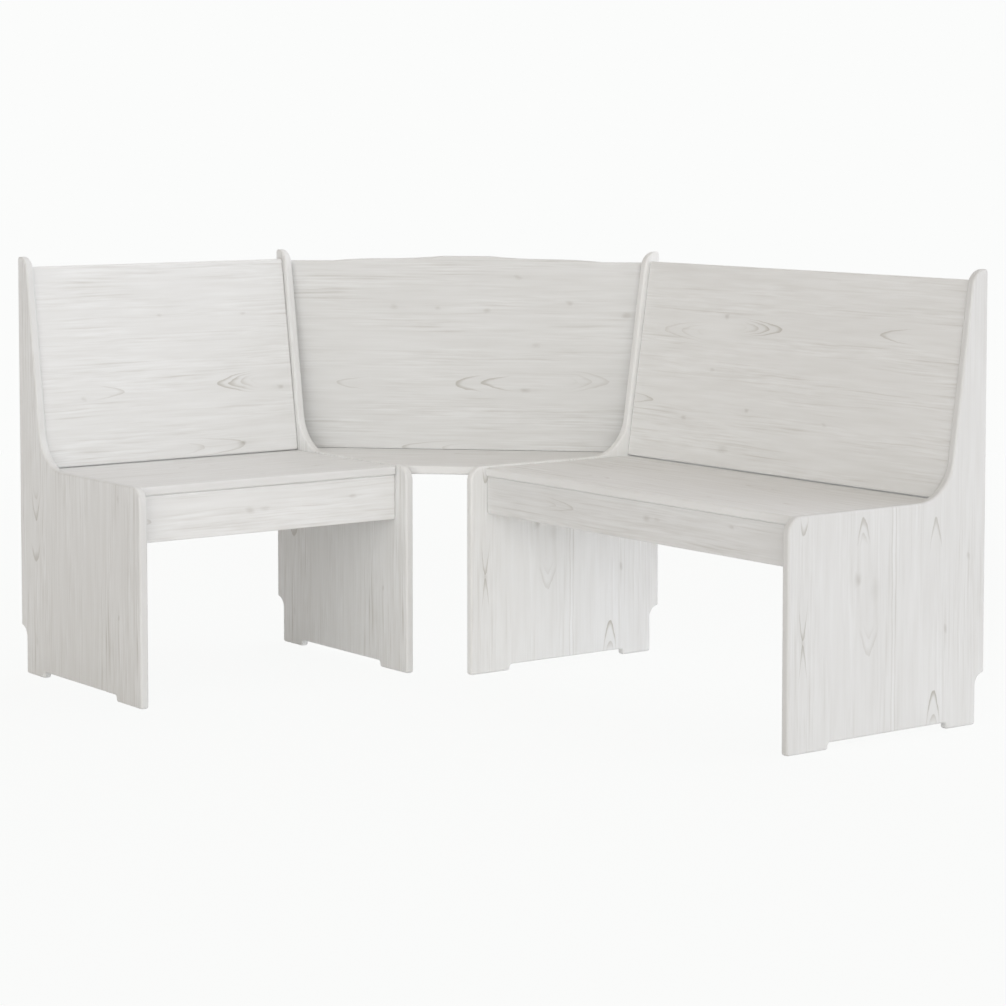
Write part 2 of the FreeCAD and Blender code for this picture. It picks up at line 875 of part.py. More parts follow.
for thing in doc.Objects:
    if "Invalid" in thing.State or "Error" in thing.State:
        raise RuntimeError("%s did not build" % thing.Label)
for name, piece in pieces.items():
    if piece.Shape.isNull() or not piece.Shape.isValid():
        raise RuntimeError("%s has no sound shape" % name)
    if name in blanks:
        if len(piece.Shape.Solids) != 1:
            raise RuntimeError("%s is not one solid" % name)
        if piece.Shape.Volume >= blanks[name].Shape.Volume:
            raise RuntimeError("%s was not drilled" % name)
if other_shoulder.Shape.Volume >= shoulder.Shape.Volume:
    raise RuntimeError("the corner back has only one shoulder")

os.makedirs("parts", exist_ok=True)
for name, piece in pieces.items():
    piece.Shape.exportStep("parts/%s.step" % name)
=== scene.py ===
import math
from collections import namedtuple

import bpy
from bpy.props import FloatProperty, FloatVectorProperty, PointerProperty
from bpy.types import Operator, Panel, PropertyGroup
from mathutils import Color, Matrix, Vector

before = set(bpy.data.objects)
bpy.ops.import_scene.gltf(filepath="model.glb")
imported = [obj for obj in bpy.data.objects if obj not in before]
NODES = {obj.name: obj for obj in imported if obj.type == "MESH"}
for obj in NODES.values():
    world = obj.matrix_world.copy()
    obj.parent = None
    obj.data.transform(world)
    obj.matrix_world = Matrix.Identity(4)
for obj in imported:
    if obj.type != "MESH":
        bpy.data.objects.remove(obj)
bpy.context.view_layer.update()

bl_info = {
    "name": "Corner bench finish",
    "version": (1, 0, 0),
    "blender": (4, 5, 0),
    "location": "3D View > Sidebar > Corner bench",
    "description": "Stains the boards of a pine corner bench and sets up the studio round it",
    "category": "Object",
}

IMAGE_SIDE = 1006
SENSOR_WIDTH = 36.0

# Directions in the room. The long wing stands along X and the short wing along Y.
UP = Vector((0, 0, 1))
ALONG_LONG_WING = Vector((1, 0, 0))
ALONG_SHORT_WING = Vector((0, 1, 0))
ALONG_CORNER = Vector((1, 1, 0)).normalized()
OUT_OF_LONG_WING = Vector((0, -1, 0))
OUT_OF_SHORT_WING = Vector((1, 0, 0))
OUT_OF_CORNER = Vector((1, -1, 0)).normalized()

# What is drawn in the grain of a board. All places are measured on the seen face, from its lower left
# corner. An arch is a nest of pointed rings: its tip, the reach from its tail to its tip (below zero where
# it points back along the board), and half its width. A joint is where two staves of a board are glued.
# The streaks say how strongly the straight grain shows.
Arch = namedtuple("Arch", "tip across reach half_width rings strength")
Knot = namedtuple("Knot", "along across radius strength")
Figure = namedtuple("Figure", "arches knots joints streaks")

SHORT_BACK_FIGURE = Figure(
    arches=[
        Arch(0.405, 0.148, -0.107, 0.025, 4, 1.2),
        Arch(0.185, 0.143, 0.082, 0.018, 1, 0.7),
        Arch(0.463, 0.020, 0.196, 0.026, 2, 0.8),
    ],
    knots=[
        Knot(0.282, 0.296, 0.0040, 0.7),
        Knot(0.477, 0.291, 0.0040, 0.7),
        Knot(0.555, 0.134, 0.0047, 1.0),
        Knot(0.458, 0.022, 0.0046, 1.0),
        Knot(0.093, 0.132, 0.0046, 0.6),
    ],
    joints=[],
    streaks=1.05,
)
CORNER_BACK_FIGURE = Figure(
    arches=[
        Arch(0.370, 0.140, -0.077, 0.022, 1, 1.2),
        Arch(0.427, 0.141, -0.083, 0.020, 1, 1.2),
        Arch(0.115, 0.137, -0.086, 0.016, 1, 0.6),
        Arch(0.254, 0.004, -0.171, 0.019, 2, 0.9),
        Arch(0.699, 0.148, 0.105, 0.027, 3, 0.5),
    ],
    knots=[
        Knot(0.440, 0.292, 0.0055, 0.9),
        Knot(0.336, 0.299, 0.0046, 0.7),
        Knot(0.242, 0.301, 0.0055, 0.7),
        Knot(0.613, 0.310, 0.0055, 0.9),
        Knot(0.521, 0.127, 0.0055, 1.0),
        Knot(0.544, 0.220, 0.0055, 0.6),
        Knot(0.506, 0.364, 0.0055, 0.7),
        Knot(0.735, 0.286, 0.0064, 1.0),
    ],
    joints=[],
    streaks=1.25,
)
LONG_BACK_FIGURE = Figure(
    arches=[
        Arch(0.427, 0.282, 0.138, 0.021, 4, 1.2),
        Arch(0.073, 0.266, -0.155, 0.024, 3, 0.5),
        Arch(0.695, 0.290, -0.121, 0.018, 1, 1.0),
        Arch(0.062, 0.119, 0.107, 0.014, 1, 1.0),
    ],
    knots=[
        Knot(0.263, 0.301, 0.0055, 1.0),
        Knot(0.350, 0.119, 0.0046, 1.0),
        Knot(0.234, 0.193, 0.0046, 0.7),
        Knot(0.165, 0.092, 0.0055, 0.9),
        Knot(0.576, 0.108, 0.0046, 0.6),
        Knot(0.293, 0.035, 0.0091, 0.6),
    ],
    joints=[],
    streaks=1.30,
)
RIGHT_PANEL_FIGURE = Figure(
    arches=[
        Arch(0.403, 0.306, 0.054, 0.019, 2, 1.2),
        Arch(0.391, 0.128, 0.078, 0.018, 1, 1.0),
        Arch(0.078, 0.131, 0.084, 0.020, 2, 1.6),
        Arch(0.158, 0.293, -0.062, 0.027, 2, 0.5),
        Arch(0.380, 0.448, -0.050, 0.012, 1, 1.2),
        Arch(0.194, 0.449, -0.095, 0.012, 1, 1.2),
        Arch(0.190, 0.449, 0.090, 0.012, 1, 1.2),
    ],
    knots=[
        Knot(0.293, 0.319, 0.0082, 1.0),
        Knot(0.185, 0.102, 0.0046, 1.0),
        Knot(0.311, 0.043, 0.0046, 0.9),
        Knot(0.273, 0.278, 0.0127, 0.4),
        Knot(0.192, 0.449, 0.0050, 0.8),
    ],
    joints=[0.231],
    streaks=0.75,
)
LEFT_PANEL_FIGURE = Figure(
    arches=[
        Arch(0.312, 0.416, -0.082, 0.023, 2, 1.0),
        Arch(0.229, 0.418, -0.045, 0.023, 1, 1.0),
    ],
    knots=[
        Knot(0.243, 0.418, 0.0055, 0.8),
        Knot(0.159, 0.083, 0.0036, 1.0),
        Knot(0.073, 0.418, 0.0064, 0.5),
        Knot(0.388, 0.083, 0.0046, 0.6),
    ],
    joints=[],
    streaks=1.90,
)
SEAT_FIGURE = Figure(
    arches=[
        Arch(0.290, 0.090, 0.120, 0.022, 2, 0.6),
        Arch(0.520, 0.230, -0.140, 0.024, 2, 0.6),
        Arch(0.760, 0.110, -0.120, 0.018, 1, 0.6),
    ],
    knots=[
        Knot(0.130, 0.215, 0.0045, 0.6),
        Knot(0.610, 0.060, 0.0050, 0.6),
        Knot(0.430, 0.305, 0.0040, 0.5),
    ],
    joints=[],
    streaks=1.30,
)
APRON_FIGURE = Figure(
    arches=[Arch(0.280, 0.040, 0.110, 0.016, 2, 0.7)],
    knots=[
        Knot(0.498, 0.044, 0.0073, 0.9),
        Knot(0.530, 0.045, 0.0055, 0.6),
        Knot(0.737, 0.055, 0.0046, 0.8),
    ],
    joints=[],
    streaks=1.15,
)
BATTEN_FIGURE = Figure(
    arches=[Arch(0.150, 0.015, 0.080, 0.009, 2, 0.8)],
    knots=[Knot(0.190, 0.012, 0.0030, 1.0)],
    joints=[],
    streaks=1.00,
)

# How a board is cut from its plank: the figure, how far along the plank it starts, a number that sets its
# streaks apart from those of other boards, and its tone, which is 1 where it is as pale as the stain. The
# tone is partly the board's own paleness and partly painted light and shade: each board is made paler or
# darker to match how brightly it is lit where it stands.
Cut = namedtuple("Cut", "figure start seed tone")
CUTS = {
    "left_end_panel": Cut(LEFT_PANEL_FIGURE, 0, 31, 0.949),
    "left_divider_panel": Cut(LEFT_PANEL_FIGURE, 0, 31, 0.985),
    "right_divider_panel": Cut(RIGHT_PANEL_FIGURE, 0, 47, 1.052),
    "right_end_panel": Cut(RIGHT_PANEL_FIGURE, 0, 47, 0.919),
    "short_wing_back": Cut(SHORT_BACK_FIGURE, 0, 5, 1.020),
    "corner_back": Cut(CORNER_BACK_FIGURE, 0, 13, 0.927),
    "long_wing_back": Cut(LONG_BACK_FIGURE, 0, 19, 1.057),
    "short_wing_seat": Cut(SEAT_FIGURE, 0.30, 61, 1.005),
    "corner_seat": Cut(SEAT_FIGURE, 0.15, 67, 1.024),
    "long_wing_seat": Cut(SEAT_FIGURE, 0, 71, 1.040),
    "short_wing_apron": Cut(APRON_FIGURE, 0.25, 83, 1.051),
    "long_wing_apron": Cut(APRON_FIGURE, 0, 89, 0.963),
}
BATTEN_STARTS_APART = 0.09
BATTEN_SEEDS_APART = 2.3
FIRST_BATTEN_SEED = 101

# A swing is a soft noise about nought: its cells in a metre along the grain, across it and into the board,
# its size from lowest to highest, and a number that keeps it apart from the board's other noises.
Swing = namedtuple("Swing", "cells size number")
BEND = Swing((4, 15, 15), 0.011, 0)
QUIVER = Swing((30, 90, 90), 0.0040, 3)
WANDER = Swing((20, 70, 70), 0.030, 5)
BAND = Swing((6, 70, 70), 0.28, 17)
CLOUD = Swing((2.2, 7, 7), 0.12, 23)
FIBRE = Swing((11, 900, 900), 1, 19)

# The straight streaks. Drawn and broken ones have cells counted in a metre along the grain, and in a ring
# width across it and into the board. The cells of the crowding are all counted in a metre. The broken ones
# add to the drawn ones, the strongest are darker still, and all are strong where they crowd and weak where
# the grain is calm.
DRAWN_CELLS = (3.8, 1.9, 0.9)
BROKEN_CELLS = (15.0, 2.3, 1.1)
BROKEN_SHARE = 0.8
DARKEST = (0.58, 0.72)
DARKEST_SHARE = 0.35
CROWD_CELLS = (2.4, 19, 12)
CROWD = (0.40, 0.62)
CROWDED = 0.98
CALM = 0.12

# A knot is longer than it is wide, with a soft edge. Its tail narrows in the grain before and behind it.
KNOT_SLIMNESS = 0.50
KNOT_EDGE = 1.35
TAIL_SLIMNESS = 0.17
TAIL_NARROWNESS = 1.7
TAIL_SHARE = 0.25

# The line of an arch, in metres from its outer edge: where it is full, where it begins to fade inwards and
# where it is gone. Its legs fade along its reach, and the straight streaks give way inside of it.
LINE_EDGE = 0.0035
LINE_CORE = 0.003
LINE_FADE = 0.021
ARCH_EDGE = (0.995, 1.0)
ARCH_LEGS = (0.05, 0.75)
ARCH_ROOM = (0.85, 1.50)
ARCH_ROOM_LEGS = (-0.6, 0.2)
ARCH_SHARE = 0.9
GIVING_WAY = 0.6

# The two lines at a glued joint and the pale wood between them: their places and widths in metres.
JOINT_LINE_ASIDE = 0.0042
JOINT_LINE_WIDTH = 0.0012
JOINT_PALE_WIDTH = 0.004
JOINT_LINE_SHARE = 0.5
JOINT_PALE_SHARE = 0.2

# How much the lines, the fibres and the knots count in the colour, the roughness and the height, and None
# where they don't count or a setting says how much. Some grain shows all over.
Share = namedtuple("Share", "colour roughness height")
LINES = Share(None, 0.10, -0.9)
FIBRES = Share(0.08, 0.12, 0.30)
KNOTS = Share(0.32, None, -0.3)
GRAIN_ALL_OVER = 0.10

# The figure shows on the face and fades out where a surface turns to the edge.
FACE_TO_EDGE = (0.45, 0.92)

# The flecks and pores of the dowels, and the dull patches and specks on the screws: their cells in a metre,
# the levels of noise between which they come up, what they count for, and the roughness without them.
FLECK_CELLS = (600, 600, 120)
FLECK_LEVELS = (0.55, 0.72)
FLECKS = Share(0.6, None, None)
PORE_CELLS = (900, 900, 900)
PORES = Share(0.4, 0.2, None)
DOWEL_ROUGHNESS = 0.5
DOWEL_RELIEF = 0.0001
PATCH_CELLS = (260, 260, 260)
PATCH_LEVELS = (0.42, 0.66)
PATCHES = Share(0.7, 0.18, None)
SPECK_CELLS = (2400, 2400, 2400)
SPECKS = Share(None, 0.10, None)
SCREW_ROUGHNESS = 0.24
SCREW_RELIEF = 0.00003

# The floor's half side, the ring where it passes into the backdrop, how much of it the camera sees in the
# backdrop's colour before and beyond that ring, and how far the camera sees. All lengths are in metres.
FLOOR_REACH = 30
FLOOR_ENDS = (1.6, 4.5)
NEAR_GLOW = 0.95
FAR_GLOW = 1.0
FLOOR_SPECK_CELLS = (3, 3, 3)
CAMERA_SIGHT = 100


class StainSettings(PropertyGroup):
    """How the stained pine of the visible boards looks."""

    wood: FloatVectorProperty(
        name="Stain",
        description="Colour of the stained wood between the grain lines",
        subtype="COLOR_GAMMA", min=0, max=1, default=(0.927, 0.932, 0.932),
    )
    grain: FloatVectorProperty(
        name="Grain",
        description="Colour of the late wood that shows through the stain",
        subtype="COLOR_GAMMA", min=0, max=1, default=(0.640, 0.620, 0.575),
    )
    knot: FloatVectorProperty(
        name="Knot",
        description="Colour of a knot under the stain",
        subtype="COLOR_GAMMA", min=0, max=1, default=(0.560, 0.535, 0.490),
    )
    ring_width: FloatProperty(
        name="Ring width",
        description="About how far apart the grain lines are",
        subtype="DISTANCE", unit="LENGTH", min=0.001, max=0.05, default=0.0095,
    )
    strength: FloatProperty(
        name="Grain strength",
        description="How much of the grain the stain lets through",
        subtype="FACTOR", min=0, max=1, default=0.42,
    )
    relief: FloatProperty(
        name="Relief",
        description="Depth of the grain that a finger feels",
        subtype="DISTANCE", unit="LENGTH", min=0, max=0.001, default=0.00018,
    )
    roughness: FloatProperty(
        name="Roughness",
        description="Roughness of the satin stain",
        subtype="FACTOR", min=0, max=1, default=0.50,
    )


class SpruceSettings(PropertyGroup):
    """How the plain battens behind and under the boards look."""

    wood: FloatVectorProperty(
        name="Spruce",
        description="Colour of the planed wood between the grain lines",
        subtype="COLOR_GAMMA", min=0, max=1, default=(0.875, 0.800, 0.670),
    )
    grain: FloatVectorProperty(
        name="Grain",
        description="Colour of the late wood",
        subtype="COLOR_GAMMA", min=0, max=1, default=(0.745, 0.590, 0.400),
    )
    knot: FloatVectorProperty(
        name="Knot",
        description="Colour of a knot",
        subtype="COLOR_GAMMA", min=0, max=1, default=(0.480, 0.330, 0.200),
    )
    ring_width: FloatProperty(
        name="Ring width",
        description="About how far apart the grain lines are",
        subtype="DISTANCE", unit="LENGTH", min=0.0005, max=0.02, default=0.0032,
    )
    strength: FloatProperty(
        name="Grain strength",
        description="How strong the grain lines are",
        subtype="FACTOR", min=0, max=1, default=0.75,
    )
    relief: FloatProperty(
        name="Relief",
        description="Depth of the planed grain",
        subtype="DISTANCE", unit="LENGTH", min=0, max=0.001, default=0.00015,
    )
    roughness: FloatProperty(
        name="Roughness",
        description="Roughness of the planed wood",
        subtype="FACTOR", min=0, max=1, default=0.68,
    )


class FastenerSettings(PropertyGroup):
    """How the dowels and screws look."""

    beech: FloatVectorProperty(
        name="Beech",
        description="Colour of the dowels",
        subtype="COLOR_GAMMA", min=0, max=1, default=(0.820, 0.690, 0.530),
    )
    beech_fleck: FloatVectorProperty(
        name="Beech flecks",
        description="Colour of the short flecks in the dowels",
        subtype="COLOR_GAMMA", min=0, max=1, default=(0.640, 0.480, 0.330),
    )
    zinc: FloatVectorProperty(
        name="Zinc",
        description="Colour of the plated screws",
        subtype="COLOR_GAMMA", min=0, max=1, default=(0.830, 0.835, 0.820),
    )
    zinc_stain: FloatVectorProperty(
        name="Zinc stain",
        description="Colour of the duller patches on the plating",
        subtype="COLOR_GAMMA", min=0, max=1, default=(0.690, 0.670, 0.600),
    )


class StudioSettings(PropertyGroup):
    """Camera, light and floor."""

    camera_place: FloatVectorProperty(
        name="Camera place",
        description="Where the camera stands",
        subtype="TRANSLATION", unit="LENGTH", default=(4.4400, -3.2437, 1.08746),
    )
    camera_heading: FloatProperty(
        name="Camera heading",
        description="Turn of the camera about the upright, from looking along the short wing",
        subtype="ANGLE", unit="ROTATION", default=math.radians(53.406),
    )
    camera_tilt: FloatProperty(
        name="Camera tilt",
        description="How far the camera looks down",
        subtype="ANGLE", unit="ROTATION", default=math.radians(3.836),
    )
    lens_in_pixels: FloatProperty(
        name="Lens",
        description="Length of the lens, in pixels of the picture",
        min=500, max=9000, default=2890.68,
    )
    shift_in_pixels: FloatProperty(
        name="Shift",
        description="How far the picture is shifted down, in pixels",
        min=-600, max=600, default=-180.0,
    )
    backdrop: FloatVectorProperty(
        name="Backdrop",
        description="Colour of the backdrop and of the floor far from the bench",
        subtype="COLOR_GAMMA", min=0, max=1, default=(0.985, 0.988, 0.985),
    )
    floor: FloatVectorProperty(
        name="Floor",
        description="Colour of the floor that the light bounces from",
        subtype="COLOR_GAMMA", min=0, max=1, default=(0.970, 0.970, 0.965),
    )
    floor_speck: FloatVectorProperty(
        name="Floor specks",
        description="Colour of the paler patches of the floor",
        subtype="COLOR_GAMMA", min=0, max=1, default=(0.985, 0.985, 0.980),
    )
    front_light: FloatVectorProperty(
        name="Front light",
        description="Strength and colour of the soft light from behind the camera",
        subtype="COLOR", min=0, soft_max=4, default=(2.706, 2.690, 2.650),
    )
    back_light: FloatVectorProperty(
        name="Back light",
        description="Strength and colour of the broad, slightly cool light from behind the long wing",
        subtype="COLOR", min=0, soft_max=4, default=(1.815, 1.885, 2.040),
    )
    top_light: FloatVectorProperty(
        name="Top light",
        description="Strength and colour of the faint warm light from above",
        subtype="COLOR", min=0, soft_max=4, default=(0.400, 0.340, 0.280),
    )


class BenchSettings(PropertyGroup):
    """All settings of the corner bench."""

    stain: PointerProperty(type=StainSettings)
    spruce: PointerProperty(type=SpruceSettings)
    fasteners: PointerProperty(type=FastenerSettings)
    studio: PointerProperty(type=StudioSettings)


def settings():
    return bpy.context.scene.corner_bench


def painted(colour, tone=1.0):
    """A colour as it is seen, turned into the light that a socket takes, and made darker or paler."""
    linear = Color(colour).from_srgb_to_scene_linear()
    return (linear.r * tone, linear.g * tone, linear.b * tone, 1.0)


class Term:
    """A number in a material's workings, which the usual signs combine."""

    def __init__(self, workings, socket):
        self.workings = workings
        self.socket = socket

    def __add__(self, other):
        return self.workings.sum("ADD", self, other)

    def __sub__(self, other):
        return self.workings.sum("SUBTRACT", self, other)

    def __mul__(self, other):
        return self.workings.sum("MULTIPLY", self, other)

    def __truediv__(self, other):
        return self.workings.sum("DIVIDE", self, other)

    def __rsub__(self, other):
        return self.workings.sum("SUBTRACT", other, self)

    def squared(self):
        return self * self

    def root(self):
        return self.workings.sum("SQRT", self)

    def fraction(self):
        return self.workings.sum("FRACT", self)

    def fading(self):
        """1 where the number is nought, falling to nought at both sides in a bell."""
        return self.workings.sum("EXPONENT", self.squared() * -1.0)

    def clamped(self):
        return self.workings.sum("MINIMUM", self.workings.sum("MAXIMUM", self, 0.0), 1.0)

    def ramp(self, low, high):
        """Nought at low, 1 at high, with a soft rise between."""
        node = self.workings.add("ShaderNodeMapRange")
        node.interpolation_type = "SMOOTHSTEP"
        self.workings.feed(node.inputs["Value"], self)
        node.inputs["From Min"].default_value = low
        node.inputs["From Max"].default_value = high
        return Term(self.workings, node.outputs["Result"])


class Workings:
    """The nodes of a material or of the world."""

    def __init__(self, owner):
        owner.use_nodes = True
        self.owner = owner
        self.tree = owner.node_tree
        self.tree.nodes.clear()
        world = isinstance(owner, bpy.types.World)
        self.output = self.add("ShaderNodeOutputWorld" if world else "ShaderNodeOutputMaterial")

    def add(self, kind):
        return self.tree.nodes.new(kind)

    def feed(self, socket, value):
        if isinstance(value, Term):
            self.tree.links.new(value.socket, socket)
        else:
            socket.default_value = value

    def sum(self, operation, *values):
        node = self.add("ShaderNodeMath")
        node.operation = operation
        for socket, value in zip(node.inputs, values):
            self.feed(socket, value)
        return Term(self, node.outputs[0])

    def coordinate(self, output):
        return Term(self, self.add("ShaderNodeTexCoord").outputs[output])

    def on_board(self, board, start):
        """The point in the plank's own directions: along the grain, across it, and out of the face."""
        node = self.add("ShaderNodeMapping")
        node.vector_type = "TEXTURE"
        self.feed(node.inputs["Vector"], self.coordinate("Object"))
        turn = Matrix((board.along, board.across, board.out)).transposed()
        node.inputs["Location"].default_value = board.corner - turn @ Vector((start, 0, 0))
        node.inputs["Rotation"].default_value = turn.to_euler()
        return Term(self, node.outputs["Vector"])

    def joined(self, *values):
        node = self.add("ShaderNodeCombineXYZ")
        for socket, value in zip(node.inputs, values):
            self.feed(socket, value)
        return Term(self, node.outputs[0])

    def dot(self, vector, direction):
        node = self.add("ShaderNodeVectorMath")
        node.operation = "DOT_PRODUCT"
        self.feed(node.inputs[0], vector)
        node.inputs[1].default_value = direction
        return Term(self, node.outputs["Value"])

    def facing(self, out):
        """1 on the faces that look out or the opposite way, and nought on the edges between them."""
        return self.sum("ABSOLUTE", self.dot(self.coordinate("Normal"), out))

    def toward(self, direction):
        """How squarely a direction of the room looks this way, and nought where it looks away."""
        return self.sum("MAXIMUM", self.dot(self.coordinate("Generated"), direction), 0.0)

    def parts(self, vector):
        node = self.add("ShaderNodeSeparateXYZ")
        self.feed(node.inputs[0], vector)
        return [Term(self, socket) for socket in node.outputs]

    def noise(self, place, cells, seed, detail=2.0):
        scaled = self.add("ShaderNodeVectorMath")
        scaled.operation = "MULTIPLY"
        self.feed(scaled.inputs[0], place)
        scaled.inputs[1].default_value = cells
        node = self.add("ShaderNodeTexNoise")
        node.noise_dimensions = "4D"
        self.tree.links.new(scaled.outputs[0], node.inputs["Vector"])
        node.inputs["W"].default_value = seed
        node.inputs["Scale"].default_value = 1.0
        node.inputs["Detail"].default_value = detail
        return Term(self, node.outputs["Fac"])

    def swing(self, place, swing, seed, detail=2.0):
        return (self.noise(place, swing.cells, seed + swing.number, detail) - 0.5) * swing.size

    def blend(self, first, second, share):
        """A colour between two colours."""
        node = self.add("ShaderNodeMix")
        node.data_type = "RGBA"
        self.feed(node.inputs[0], share)
        self.feed(node.inputs[6], first)
        self.feed(node.inputs[7], second)
        return Term(self, node.outputs[2])

    def shade(self, colour, roughness, height, depth, **fixed):
        """Ends the workings in a surface. Fixed values are set on the surface's own sockets."""
        bump = self.add("ShaderNodeBump")
        self.feed(bump.inputs["Height"], height)
        bump.inputs["Distance"].default_value = depth
        surface = self.add("ShaderNodeBsdfPrincipled")
        self.feed(surface.inputs["Base Color"], colour)
        self.feed(surface.inputs["Roughness"], roughness)
        self.tree.links.new(bump.outputs["Normal"], surface.inputs["Normal"])
        for name, value in fixed.items():
            surface.inputs[name.replace("_", " ").title()].default_value = value
        self.tree.links.new(surface.outputs[0], self.output.inputs["Surface"])
        return self.owner

    def either(self, first, second, share):
        """Ends the workings in a mix of two shaders."""
        mixed = self.add("ShaderNodeMixShader")
        self.feed(mixed.inputs[0], share)
        self.tree.links.new(first.outputs[0], mixed.inputs[1])
        self.tree.links.new(second.outputs[0], mixed.inputs[2])
        self.tree.links.new(mixed.outputs[0], self.output.inputs["Surface"])


class Board:
    """Where the seen face of a board is, and which way its grain runs."""

    def __init__(self, node, out, along):
        mesh = NODES[node].data
        areas = {}
        for face in mesh.polygons:
            if face.normal.dot(out) > 0.5:
                side = tuple(round(part, 3) for part in face.normal)
                areas[side] = areas.get(side, 0) + face.area
        if not areas:
            raise RuntimeError("no face of " + node + " looks that way")
        self.out = Vector(max(areas, key=areas.get)).normalized()
        self.along = (along - self.out * along.dot(self.out)).normalized()
        self.across = self.out.cross(self.along)
        corners = [vertex.co for vertex in mesh.vertices]
        self.corner = (
            self.along * min(point.dot(self.along) for point in corners)
            + self.across * min(point.dot(self.across) for point in corners)
            + self.out * max(point.dot(self.out) for point in corners)
        )


def knots_in(workings, knots, along, across):
    """How much of a knot each point holds, with the tails that it leaves in the grain."""
    mark = None
    for knot in knots:
        aside = (across - knot.across) / knot.radius
        onward = (along - knot.along) / knot.radius
        core = 1.0 - ((onward * KNOT_SLIMNESS).squared() + aside.squared()).root().ramp(0.0, KNOT_EDGE)
        tail = (onward * TAIL_SLIMNESS).fading() * (aside * TAIL_NARROWNESS).fading() * TAIL_SHARE
        each = workings.sum("MAXIMUM", core, tail) * knot.strength
        mark = each if mark is None else workings.sum("MAXIMUM", mark, each)
    return mark


def arches_in(workings, arches, along, across):
    """The dark lines of the nested arches, and how far each point lies inside of one."""
    lines, inside = None, None
    for arch in arches:
        onward = (along - (arch.tip - arch.reach)) / arch.reach
        aside = (across - arch.across) / arch.half_width
        nested = onward + aside.squared()
        inward = (1.0 - (nested * arch.rings).fraction()) * abs(arch.reach / arch.rings)
        late = inward.ramp(0.0, LINE_EDGE) * (1.0 - inward.ramp(LINE_CORE, LINE_FADE))
        within = 1.0 - nested.ramp(*ARCH_EDGE)
        line = late * within * onward.ramp(*ARCH_LEGS) * arch.strength
        room = (1.0 - nested.ramp(*ARCH_ROOM)) * onward.ramp(*ARCH_ROOM_LEGS)
        lines = line if lines is None else workings.sum("MAXIMUM", lines, line)
        inside = room if inside is None else workings.sum("MAXIMUM", inside, room)
    return lines, inside


def joints_in(workings, joints, across):
    """The pairs of thin lines beside the glued joints of a board, and the pale wood between them."""
    lines, pale = None, None
    for joint in joints:
        aside = across - joint
        first = ((aside - JOINT_LINE_ASIDE) / JOINT_LINE_WIDTH).fading()
        second = ((aside + JOINT_LINE_ASIDE) / JOINT_LINE_WIDTH).fading()
        pair = first + second
        middle = (aside / JOINT_PALE_WIDTH).fading()
        lines = pair if lines is None else lines + pair
        pale = middle if pale is None else pale + middle
    return lines, pale


def streaks_in(workings, place, bent, ring_width, seed):
    """Thin straight streaks of early and late wood, crowded here and weak there, broken off at random."""
    drawn, broken = [
        workings.noise(bent, (onward, aside / ring_width, inward / ring_width), seed + number)
        for (onward, aside, inward), number in ((DRAWN_CELLS, 11), (BROKEN_CELLS, 13))
    ]
    crowd = workings.noise(place, CROWD_CELLS, seed + 7).ramp(*CROWD)
    streaks = (drawn - 0.5) + (broken - 0.5) * BROKEN_SHARE
    dark = drawn.ramp(*DARKEST) * DARKEST_SHARE
    return (streaks + dark) * (crowd * CROWDED + CALM)


def pine(name, board, wood, cut):
    """A figured softwood board, stained or plain. Its narrow edges show straight fibres only."""
    workings = Workings(bpy.data.materials.new(name))
    figure, seed = cut.figure, cut.seed
    place = workings.on_board(board, cut.start)
    face = workings.facing(board.out).ramp(*FACE_TO_EDGE)

    # All of the grain bends slowly. The arches and knots quiver and wander besides.
    along, across, out = workings.parts(place)
    across = across + workings.swing(place, BEND, seed)
    bent = workings.joined(along, across, out)
    across = across + workings.swing(place, QUIVER, seed)
    along = along + workings.swing(place, WANDER, seed)

    mark = knots_in(workings, figure.knots, along, across) * face
    arcs, inside = arches_in(workings, figure.arches, along, across)
    streaks = streaks_in(workings, place, bent, wood.ring_width, seed)
    lines = streaks * (1.0 - inside * GIVING_WAY) * figure.streaks + arcs * ARCH_SHARE
    if figure.joints:
        joined, pale = joints_in(workings, figure.joints, across)
        lines = lines + joined * JOINT_LINE_SHARE - pale * JOINT_PALE_SHARE
    lines = lines * face

    fibre = workings.swing(place, FIBRE, seed, detail=3.0)
    drift = workings.swing(place, BAND, seed) + workings.swing(place, CLOUD, seed)
    shown = (lines * wood.strength + fibre * FIBRES.colour + drift + GRAIN_ALL_OVER).clamped()
    # The cut's tone is partly painted light and shade: it makes the whole board paler or darker to match its
    # light.
    colour = workings.blend(painted(wood.wood, cut.tone), painted(wood.grain, cut.tone), shown)
    colour = workings.blend(colour, painted(wood.knot), mark * KNOTS.colour)
    roughness = lines * LINES.roughness + fibre * FIBRES.roughness + wood.roughness
    height = lines * LINES.height + fibre * FIBRES.height + mark * KNOTS.height + 1.0
    return workings.shade(colour, roughness, height, wood.relief)


def dress(node, material):
    """Puts the finish on a piece of the bench, in every slot that it has."""
    piece = NODES[node]
    slots = piece.material_slots
    if not slots:
        raise RuntimeError(node + " has no material slot")
    for slot in slots:
        slot.link = "OBJECT"
        slot.material = material


def dress_board(node, out, along, wood, cut):
    dress(node, pine(node + "_finish", Board(node, out, along), wood, cut))


class CORNERBENCH_OT_side_panels(Operator):
    """Stains the four side panels, whose grain runs upright"""

    bl_idname = "corner_bench.side_panels"
    bl_label = "Stain side panels"

    def execute(self, context):
        stain = settings().stain
        for node in ("left_end_panel", "left_divider_panel"):
            dress_board(node, OUT_OF_LONG_WING, UP, stain, CUTS[node])
        for node in ("right_divider_panel", "right_end_panel"):
            dress_board(node, OUT_OF_SHORT_WING, UP, stain, CUTS[node])
        return {"FINISHED"}


